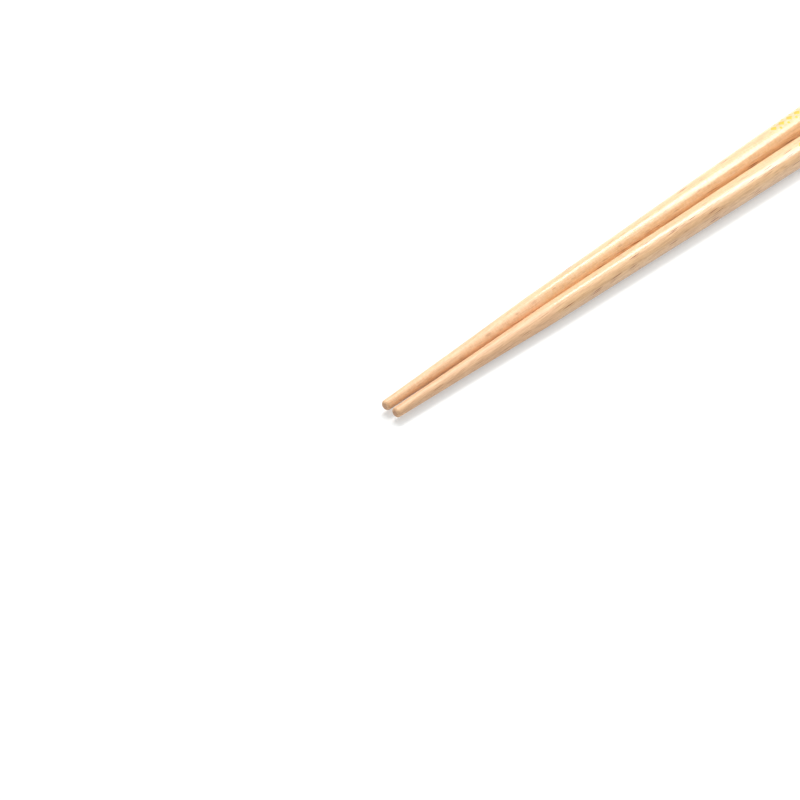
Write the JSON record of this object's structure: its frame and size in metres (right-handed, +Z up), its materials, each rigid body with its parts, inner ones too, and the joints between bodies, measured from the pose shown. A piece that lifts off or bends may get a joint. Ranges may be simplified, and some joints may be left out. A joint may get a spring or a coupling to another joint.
{
  "type": "pair of chopsticks",
  "caption": "Pair of round tapered wooden chopsticks with slim bare tips and clear-lacquered handles, lying side by side.",
  "frame": {"origin": "on the table under the middle of the pair", "axes": "+X runs from the tips to the butts, +Y to the left stick, +Z up from the table"},
  "size_m": [0.225, 0.0184, 0.0081],
  "materials": {
    "lacquered_beech": "pale beech, matt and bare for 50 mm from the tip, clear gloss lacquer beyond, small gold ornament on the handle"
  },
  "bodies": {
    "root": {"left_chopstick": "lacquered_beech", "right_chopstick": "lacquered_beech"}
  },
  "joints": []
}
